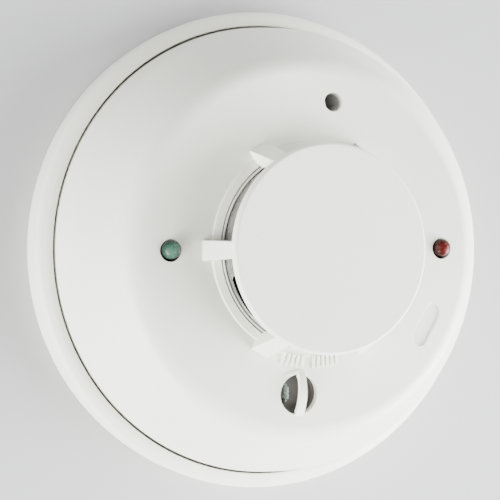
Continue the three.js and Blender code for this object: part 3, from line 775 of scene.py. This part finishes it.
def labyrinth():
    roof = lathe("roof", rounded([(0, 46.4), (24.8, 46.4, 0.3), (24.8, 47.6, 0.4), (0, 47.6)], 15), 144)
    for i in range(20):
        vane = move(soft_box("vane", 5.2, 1, 36.3, 46.6, 0.2), 22, turn=38)
        join(roof, move(vane, turn=(i + 0.5) * 18))
    return roof


def chamber():
    piece(smooth(chamber_bowl()), "chamber_bowl", "head", "black_plastic", "chamber_base")
    piece(smooth(labyrinth()), "chamber_maze", "head", "black_plastic", "chamber_labyrinth")
    for name, place in (("green_lamp_spacer", GREEN_LAMP), ("red_lamp_spacer", RED_LAMP)):
        sleeve = rod("spacer", 2.9, ON_BOARD, 30.2, 40)
        for x in LAMP_LEADS:
            cut(sleeve, move(rod("bore", 0.65, 16, 31, 16), x))
        sleeve = move(sleeve, place[0], place[1] + LAMP_OFFSET, turn=90)
        piece(smooth(sleeve), f"{name}_sleeve", "head", "inner_plastic", name)
    guide = lathe("guide", rounded([
        (4.8, ON_BOARD), (5.8, ON_BOARD), (5.8, 24, 0.5), (2, 24, 0.3), (2, 22.5), (4.8, 22.5),
    ], 15), 64)
    piece(smooth(move(guide, *TEST_HOLE)), "button_guide", "head", "inner_plastic", "plunger_guide")


# ---------------------------------------------------------------- cover


def cover_shell():
    outline = rounded([
        (SKIRT_RADIUS, SKIRT_BOTTOM, 0.3),
        (SKIRT_RADIUS, 12.6, 3),
        (60.9, 21.2, 8),
        (*FACE_EDGE, 6.5),
        (*FACE_FOOT, 0.35),
        (COLLAR_OUTER, COLLAR_TOP - 0.3, 0.25),
        (COLLAR_INNER, COLLAR_TOP + 0.2, 0.12),
        (COLLAR_INNER, 37, 0.3),
        (34, 36.9),
        (47.4, 36, 3),
        (58.6, 20.6, 5),
        (60.2, 12.6, 3),
        (SKIRT_RADIUS - 1.8, SKIRT_BOTTOM, 0.3),
    ], 5)
    return lathe("cover_shell", outline)


def cap_disc():
    bottom = HEIGHT - CAP_THICKNESS
    outline = rounded([
        (0, bottom),
        (CAP_RADIUS - 0.1, bottom, 0.4),
        (CAP_RADIUS, HEIGHT, 0.85),
        (0, HEIGHT),
    ], 7)
    return lathe("cap_disc", outline)


def arm():
    """A buttress from the face to the cap's edge: narrower and thinner towards the cap."""
    screen_side = FRAME_OUTER - 0.45
    over_frame = FRAME_TOP + 0.4
    outline = [
        (31.2, 37.6), (31.2, 38.4), (30.85, 38.75), (30.6, 39.3), (27.1, 48), (27, HEIGHT - 1.7),
        (screen_side - 1, HEIGHT - 1.7), (screen_side, HEIGHT - 2.5), (screen_side, over_frame),
        (COLLAR_INNER + 0.3, over_frame), (COLLAR_INNER + 0.3, 38.2),
    ]
    foot_top, foot_flare, taper = 39.3, 0.15, 0.04

    def half_width(z):
        return 2.5 - taper * (z - 40) + foot_flare * max(0, foot_top - z)

    def side(sign):
        return [(r, sign * half_width(z), z) for r, z in outline]

    return apply_modifiers(bevel(prism("arm", side(-1), side(1)), 0.25, 3, 25))


def flared(radius, flare, depth):
    """A hole cutter whose mouth, at height 0, widens in a quarter round."""
    outline = [(0, -depth), (radius, -depth)]
    steps = 5
    for i in range(steps + 1):
        angle = math.pi / 2 * i / steps
        outline.append((radius + flare * (1 - math.cos(angle)), -flare + flare * math.sin(angle)))
    outline += [(radius + flare, 3), (0, 3)]
    return lathe("flared", outline, SMALL_ROUND)


def face_cut(x, y, radius, flare, depth):
    """A flared cutter set on the face, tilted with it."""
    tool = flared(radius, flare, depth)
    tilt = Matrix.Rotation(math.atan(-FACE_SLOPE), 4, Vector((-y, x, 0)).normalized())
    tool.data.transform(Matrix.Translation((x * MM, y * MM, face_height(x, y) * MM)) @ tilt)
    return tool


def pad_outline_cutter():
    """The recess of the magnet pad: a racetrack whose wall slopes in."""
    length, width = MAGNET_PAD["length"], MAGNET_PAD["width"]
    rings = [(0.08, 1.5), (0.08, 0.0), (-0.04, -0.12), (-0.08, -0.5), (-0.22, -0.6)]
    bm = bmesh.new()
    loops = []
    for inset, height in rings:
        ring = []
        half, reach = width / 2 + inset, (length - width) / 2
        steps = 16
        for side in (1, -1):
            for i in range(steps + 1):
                angle = math.pi * i / steps if side == 1 else math.pi + math.pi * i / steps
                ring.append(bm.verts.new((
                    half * math.cos(angle) * MM, (side * reach + half * math.sin(angle)) * MM, height * MM)))
        loops.append(ring)
    for upper, lower in zip(loops, loops[1:]):
        wall(bm, upper, lower)
    bm.faces.new(loops[0])
    bm.faces.new(loops[-1])
    obj = from_bmesh("pad_cutter", bm)
    tilt = Matrix.Rotation(math.atan(-FACE_SLOPE), 4, "Y")
    radius = MAGNET_PAD["radius"]
    place = Matrix.Translation((radius * MM, 0, face_height(radius, 0) * MM))
    obj.data.transform(Matrix.Rotation(math.radians(MAGNET_PAD["angle"]), 4, "Z") @ place @ tilt)
    return obj


def smooth_path(corners, steps=4):
    """A Catmull-Rom curve through the (x, y) corners."""
    ends = [corners[0], *corners, corners[-1]]
    points = []
    for a, b, c, d in zip(ends, ends[1:], ends[2:], ends[3:]):
        a, b, c, d = Vector(a), Vector(b), Vector(c), Vector(d)
        for k in range(steps):
            t = k / steps
            points.append(b + (c - a) * t / 2 + (2 * a - 5 * b + 4 * c - d) * t * t / 2
                          + (3 * b - a - 3 * c + d) * t ** 3 / 2)
    return [tuple(p) for p in points] + [corners[-1]]


def window_guard():
    """The low arch over the window, along the radius, higher towards the chamber."""
    top = smooth_path([(-6.3, 37.7), (-5.2, 38.55), (-3.4, 39.65), (-1.4, 40.4), (0.4, 40.7), (2.6, 40.5),
                       (4.7, 39.9), (5.8, 39.25), (6.4, 38.2)])
    under = smooth_path([(-4.4, 37.7), (-3, 38.6), (-1.2, 39.15), (0.4, 39.3), (2.4, 39.1), (3.9, 38.6),
                         (4.6, 37.7)])
    outline = top + under[::-1]
    left, right = ([(x + lean * y, y, z) for y, z in outline] for x, lean in ((-0.75, 0.075), (1.33, 0.01)))
    return move(apply_modifiers(bevel(prism("guard", left, right), 0.35, 3, 35)), *WINDOW)


def window_rim():
    """A short raised bead from the guard's inner foot, along the window's edge."""
    points, radii = [], []
    steps = 14
    for i in range(steps + 1):
        t = i / steps
        angle = math.radians(78 + 48 * t)
        x, y = WINDOW[0] + 6.1 * math.cos(angle), WINDOW[1] + 6.1 * math.sin(angle)
        radii.append(0.62 * math.sin(math.pi * (0.12 + 0.84 * t)) ** 0.5)
        points.append((x, y, face_height(x, y) + 0.05))
    return tube("rim", points, radii)


def raised_mark(angle):
    """One plain raised bar, over the collar's edge and down to the face."""
    outline = [(27.9, 38.6), (27.9, 39.45), (28.5, 39.4), (28.8, 39.2), (31.1, 38.85), (31.4, 38.2)]
    left, right = ([(r, y, z) for r, z in outline] for y in (-MARK_WIDTH / 2, MARK_WIDTH / 2))
    return move(apply_modifiers(bevel(prism("mark", left, right), 0.14, 2, 25)), turn=angle)


def inner_rib():
    outline = [(53.4, 12.7), (61.3, 12.7), (61, 15), (59, 22.4), (57.4, 24), (53.4, 15)]
    obj = extrude("rib", outline, -0.8, 0.8)
    obj.data.transform(Matrix.Rotation(math.pi / 2, 4, "X"))
    return obj


def cover():
    shell = cover_shell()
    join(shell, move(rod("tube", 3.85, 24.6, 37.4), *TEST_HOLE), window_rim())
    for i in range(8):
        join(shell, move(inner_rib(), turn=45 * i))
    for angle in MARK_ANGLES:
        join(shell, raised_mark(angle))
    for x, y in (GREEN_LAMP, RED_LAMP):
        cut(shell, face_cut(x, y, 2.8, 0.15, 8))
    cut(shell, face_cut(*TEST_HOLE, 2.55, 0.15, 16), face_cut(*WINDOW, 5.25, 0.15, 8), pad_outline_cutter())
    cap = cap_disc()
    for i in range(ARM_COUNT):
        join(cap, move(arm(), turn=i * 360 / ARM_COUNT))
    return join(shell, window_guard(), cap)


# ---------------------------------------------------------------- insect screen and its frame


def wire_screen():
    """Two layers of round wire, wound at 45 degrees either way. Part of its top edge is cut away."""
    wires, sides, radius, step = 200, 5, 0.105, 0.85
    low, high = MESH_BOTTOM, MESH_TOP
    steps = round((high - low) / step)
    notch_start, notch_end = NOTCH_ANGLES
    bm = bmesh.new()
    for sense, layer in ((1, MESH_OUTER - 0.1), (-1, MESH_OUTER - 0.24)):
        for i in range(wires):
            before = None
            for k in range(steps + 1):
                z = low + (high - low) * k / steps
                angle = 2 * math.pi * i / wires + sense * (z - low) / layer
                if notch_start < math.degrees(angle) % 360 < notch_end and z > NOTCH_BOTTOM:
                    before = None
                    continue
                out = Vector((math.cos(angle), math.sin(angle), 0))
                along = Vector((-sense * math.sin(angle), sense * math.cos(angle), 1)).normalized()
                across = along.cross(out)
                middle = layer * out + Vector((0, 0, z))
                ring = []
                for m in range(sides):
                    t = 2 * math.pi * m / sides
                    offset = radius * (math.cos(t) * out + math.sin(t) * across)
                    ring.append(bm.verts.new((middle + offset) * MM))
                if before:
                    wall(bm, before, ring)
                before = ring
    bmesh.ops.holes_fill(bm, edges=[edge for edge in bm.edges if edge.is_boundary], sides=8)
    bmesh.ops.delete(bm, geom=[vert for vert in bm.verts if not vert.link_faces], context="VERTS")
    return from_bmesh("wires", bm)


def screen_ring():
    """The frame that holds the screen's lower edge."""
    inner = MESH_OUTER + 0.06
    outline = rounded([
        (24.9, 33.5), (FRAME_OUTER, 33.5, 0.2), (FRAME_OUTER - 0.05, FRAME_TOP, 0.1),
        (FRAME_OUTER - 0.5, FRAME_TOP, 0.1), (inner, FRAME_TOP - 0.5), (inner, MESH_BOTTOM - 0.3),
        (24.9, MESH_BOTTOM - 0.3),
    ], 15)
    return lathe("screen_ring", outline)


# ---------------------------------------------------------------- lamps, thermistor and test plunger


def lamp_lens():
    """A domed 5 mm lens on its flange, hollow where the lead frame stands."""
    dome = [(LAMP_RADIUS * math.cos(a), LAMP_TOP - LAMP_RADIUS + LAMP_RADIUS * math.sin(a))
            for a in (math.radians(7.5 * k) for k in range(12))]
    outline = [(0, 30.5), (2.9, 30.5), (2.9, 31.4), (2.8, 31.5), (LAMP_RADIUS, 31.5)] + dome + [(0, LAMP_TOP)]
    lens = lathe("lens", outline, 40)
    pocket = lathe("pocket", [(0, 30), (1.7, 30), (1.7, 37.6), (0, 37.6)], 24)
    return cut(lens, pocket)


def lamp_frame():
    """What is inside the lens: a cup on one post, the other post beside it, and both leads."""
    outline = [(0, 36), (0.5, 36), (0.9, 36.4), (1.3, 37.3), (1.15, 37.3), (0.55, 36.7), (0, 36.7)]
    cup = lathe("cup", outline, 24)
    posts = [
        extrude("anvil", rectangle(-1.6, -0.25, -0.1, 0.25), 31.5, 36.3),
        extrude("post", rectangle(0.5, -0.25, 1.5, 0.25), 31.5, 35.6),
    ]
    leads = [move(rod("lead", 0.26, ON_BOARD, 32, 10), x) for x in LAMP_LEADS]
    return merge("lamp_frame", [cup, *posts, *leads])


def add_lamp(name, place, slot):
    x, y = place[0], place[1] + LAMP_OFFSET
    piece(smooth(move(lamp_lens(), x, y, turn=90)), f"{name}_lens", "head", slot, name)
    piece(smooth(move(lamp_frame(), x, y, turn=90)), f"{name}_frame", "head", "plated_steel")


def in_window(obj):
    """Moves the mesh to the thermistor's place under the window."""
    return move(obj, WINDOW[0] + THERMISTOR[0], WINDOW[1] + THERMISTOR[1])


def thermistor_body():
    """A short glass rod with rounded ends, lying along Y."""
    ys = (-1.9, -1.8, -1.55, 1.55, 1.8, 1.9)
    return in_window(tube("glass", [(0, y, 36) for y in ys], [0.35, 0.68, 0.88, 0.88, 0.68, 0.35], 20))


def thermistor_leads():
    """Its leads, bent down at both ends, and the chip between them."""
    half = [(THERMISTOR_LEAD, ON_BOARD), (THERMISTOR_LEAD, 35.3), (2.33, 35.7), (2.15, 35.95), (1.9, 36)]
    path = [(0, -y, z) for y, z in half] + [(0, y, z) for y, z in reversed(half)]
    chip = tube("chip", [(0, y, 36) for y in (-0.55, -0.5, 0.5, 0.55)], [0.3, 0.5, 0.5, 0.3], 12)
    return in_window(merge("leads", [tube("lead", path, [0.24] * len(path), 10), chip]))


def shroud_cup():
    """The cup under the window, with a hole for each of the thermistor's leads."""
    low, high = 29.5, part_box("thermistor_shroud")[1].z / MM
    cup = lathe("shroud", rounded([
        (0, low), (5, low), (5, ON_BOARD), (6, ON_BOARD), (6, high, 0.2), (5, high, 0.2), (5, 34.2, 0.6),
        (0, 34.2),
    ], 15), 64)
    for side in (-THERMISTOR_LEAD, THERMISTOR_LEAD):
        cut(cup, move(rod("hole", 0.6, 28, 36, 16), THERMISTOR[0], THERMISTOR[1] + side))
    return move(cup, *WINDOW)


def test_hole_shade_liner():
    """A thin grey liner in the cover's test tube, put there as painted shade inside the test hole."""
    outline = rounded([(2.4, 25), (2.53, 25), (2.53, 37.3), (2.4, 37.3, 0.06)], 30)
    return move(lathe("sleeve", outline, SMALL_ROUND), *TEST_HOLE)


def plunger():
    return move(lathe("plunger", rounded([
        (0, 21.6), (3, 21.6, 0.1), (3, 22.2, 0.1), (1.7, 22.2), (1.7, 31, 0.35), (0, 31),
    ], 20), 40), *TEST_HOLE)


# ---------------------------------------------------------------- camera, lights and floor

SOFTBOX_SIDE = 0.6  # metres, as are the next two
SOFTBOX_DISTANCE = 1.1
LOOK_AT = Vector((0, 0, 0.02))
FLOOR_HALF = 3000  # millimetres


def add_camera():
    """At the photograph's viewing angle: 67 degrees above the face, from the green lamp's side."""
    swing, roll = math.radians(23.064), math.radians(0.621)
    distance, sideways, along = 380.6, -1.4, -0.07
    right = Vector((math.cos(swing), 0, math.sin(swing)))
    up = Vector((0, 1, 0))
    back = Vector((-math.sin(swing), 0, math.cos(swing)))
    data = bpy.data.cameras.new("camera")
    data.sensor_width = 36
    data.lens = 94.46
    data.clip_start = 0.01
    camera = new_object("camera", data)
    turned_right = math.cos(roll) * right - math.sin(roll) * up
    turned_up = math.sin(roll) * right + math.cos(roll) * up
    place = (sideways * right + along * up + distance * back) * MM
    axes = Matrix((turned_right, turned_up, back)).transposed().to_4x4()
    camera.matrix_world = Matrix.Translation(place) @ axes
    bpy.context.scene.camera = camera


def add_light(name, azimuth, elevation, power):
    """A square softbox that looks at the object; angles in degrees, power in watts."""
    data = bpy.data.lights.new(name, "AREA")
    data.shape = "SQUARE"
    data.size = SOFTBOX_SIDE
    data.energy = power
    light = new_object(name, data)
    turn = Matrix.Rotation(math.radians(azimuth), 3, "Z") @ Matrix.Rotation(math.radians(-elevation), 3, "Y")
    light.location = turn @ Vector((SOFTBOX_DISTANCE, 0, 0))
    light.rotation_euler = (LOOK_AT - light.location).to_track_quat("-Z", "Y").to_euler()


def add_stage():
    floor = extrude("floor", rectangle(-FLOOR_HALF, -FLOOR_HALF, FLOOR_HALF, FLOOR_HALF), -20, 0)
    floor.data.materials.append(floor_paper("floor_paper"))
    world = bpy.data.worlds.new("studio")
    world.use_nodes = True
    background = world.node_tree.nodes["Background"]
    background.inputs["Color"].default_value = (1, 1, 1, 1)
    background.inputs["Strength"].default_value = 0.6
    bpy.context.scene.world = world
    add_light("left_near", -135, 10, 31.6)
    add_light("left_far", -160, 10, 26.1)
    add_light("right_low", -30, 10, 54.7)
    add_light("right_high", -30, 40, 14.2)
    add_light("right_fill", 0, 25, 19.7)
    add_light("back_fill", 45, 25, 6.9)


# ---------------------------------------------------------------- the object


def dress_cad_nodes():
    """Every CAD node that stays gets its slot's material and slightly broken edges."""
    for entry in frame["record"]["subparts"]:
        node = frame["nodes"][entry["node"]]
        node.data.materials.clear()
        node.data.materials.append(MATERIALS[entry["material_slot"]])
        weld = node.modifiers.new("weld", "WELD")
        weld.merge_threshold = 1e-6
        bevel(node, 0.12, 2, 30)


add_camera()
add_stage()
dress_cad_nodes()

piece(smooth(cover()), "cover_moulding", "cover", "housing", "cover")
piece(smooth(base()), "base_moulding", "base", "housing", "mounting_base")
screws()
piece(smooth(chassis()), "chassis_moulding", "head", "inner_plastic", "head_chassis")
board_components()
chamber()
piece(smooth(wire_screen(), 80), "wire_screen", "head", "screen_mesh", "insect_screen")
piece(smooth(screen_ring()), "screen_ring", "head", "housing", "screen_frame")
add_lamp("green_lamp", GREEN_LAMP, "green_lens")
add_lamp("red_lamp", RED_LAMP, "red_lens")
piece(smooth(thermistor_body()), "thermistor_glass", "head", "tube_glass", "thermistor")
piece(smooth(thermistor_leads()), "thermistor_leads", "head", "plated_steel")
piece(smooth(shroud_cup()), "thermistor_well", "head", "dark_plastic", "thermistor_shroud")
# painted shade: the grey liner darkens the inside of the test hole
piece(smooth(test_hole_shade_liner()), "test_hole_shade_liner", "cover", "grey_plastic")
piece(smooth(plunger()), "test_button", "test_plunger", "grey_plastic", "test_plunger")
